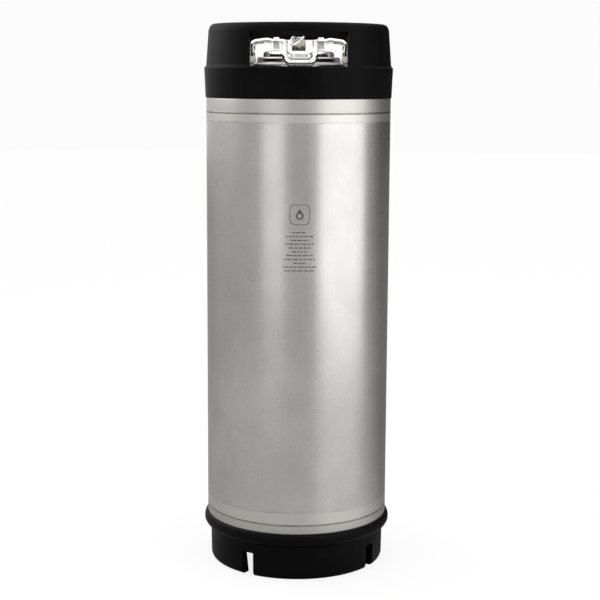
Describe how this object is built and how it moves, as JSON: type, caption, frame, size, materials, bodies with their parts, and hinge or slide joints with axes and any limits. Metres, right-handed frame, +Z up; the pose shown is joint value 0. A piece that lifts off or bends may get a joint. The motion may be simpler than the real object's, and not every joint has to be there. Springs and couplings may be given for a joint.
{
  "type": "soda keg",
  "caption": "Tall stainless soda keg with rubber top and base boots, handholds, bail-clamped oval lid, relief valve and ball lock posts.",
  "frame": {"origin": "centre of the keg's round foot, on the surface it stands on", "axes": "+Z up the keg's axis; the bail handle and the front handhold face -Y; gas post at -X, liquid post at +X"},
  "size_m": [0.2236, 0.2236, 0.637],
  "materials": {
    "boot_rubber": "satin moulded black rubber",
    "drum_steel": "satin, fine vertical and round scratches",
    "head_steel": "sanded round the welds",
    "lid_steel": "polished",
    "fitting_steel": "turned, bright",
    "valve_nickel": "warm grey, satin",
    "tube_steel": "drawn tube",
    "spring_steel": "spring wire",
    "seal_rubber": "smooth black seal",
    "foot_vinyl": "pale vinyl sleeve"
  },
  "bodies": {
    "keg": {"shell_cylinder": "drum_steel", "top_head": "head_steel", "bottom_head": "head_steel", "top_boot": "boot_rubber", "base_boot": "boot_rubber", "gas_port": "fitting_steel", "liquid_port": "fitting_steel", "gas_post": "fitting_steel", "liquid_post": "fitting_steel", "gas_post_oring": "seal_rubber", "liquid_post_oring": "seal_rubber", "gas_tube_oring": "seal_rubber", "liquid_tube_oring": "seal_rubber", "gas_dip_tube": "tube_steel", "liquid_dip_tube": "tube_steel", "gas_poppet_spring": "spring_steel", "liquid_poppet_spring": "spring_steel"},
    "lid": {"lid_plate": "lid_steel", "lid_gasket": "seal_rubber", "bail_bracket_left": "lid_steel", "bail_bracket_right": "lid_steel", "prv_boss": "lid_steel", "prv_body": "valve_nickel", "prv_retainer": "valve_nickel", "prv_spring": "spring_steel"},
    "bail": {"bail_wire": "lid_steel", "bail_foot_left": "foot_vinyl", "bail_foot_right": "foot_vinyl"},
    "prv_stem": {"prv_stem": "valve_nickel", "prv_seal": "seal_rubber"},
    "prv_ring": {"prv_pull_ring": "lid_steel"},
    "gas_poppet": {"gas_poppet": "fitting_steel", "gas_poppet_seal": "seal_rubber"},
    "liquid_poppet": {"liquid_poppet": "fitting_steel", "liquid_poppet_seal": "seal_rubber"}
  },
  "joints": [
    {"name": "lid_drop", "type": "slide", "parent": "keg", "child": "lid", "axis": [0, 0, -1], "range_m": [0, 0.00244]},
    {"name": "bail_swing", "type": "hinge", "parent": "lid", "child": "bail", "pos_m": [0, 0, 0.6173], "axis": [-1, 0, 0], "range_deg": [0, 100]},
    {"name": "prv_lift", "type": "slide", "parent": "lid", "child": "prv_stem", "axis": [0, 0, 1], "range_m": [0, 0.0025], "stiffness_N_per_m": 2000, "springref_m": -0.0002, "deforming": ["prv_spring"]},
    {"name": "prv_ring_swing", "type": "hinge", "parent": "prv_stem", "child": "prv_ring", "pos_m": [-0.00178, -0.00489, 0.6276], "axis": [-0.7881, 0.2868, -0.5446], "range_deg": [0, 80]},
    {"name": "gas_poppet_press", "type": "slide", "parent": "keg", "child": "gas_poppet", "axis": [0, 0, -1], "range_m": [0, 0.003], "stiffness_N_per_m": 600, "springref_m": -0.0002, "deforming": ["gas_poppet_spring"]},
    {"name": "liquid_poppet_press", "type": "slide", "parent": "keg", "child": "liquid_poppet", "axis": [0, 0, -1], "range_m": [0, 0.003], "stiffness_N_per_m": 600, "springref_m": -0.0002, "deforming": ["liquid_poppet_spring"]}
  ],
  "couplings": [
    {"joint": "bail_swing", "follows": "lid_drop", "rad_per_m": 714.29}
  ]
}
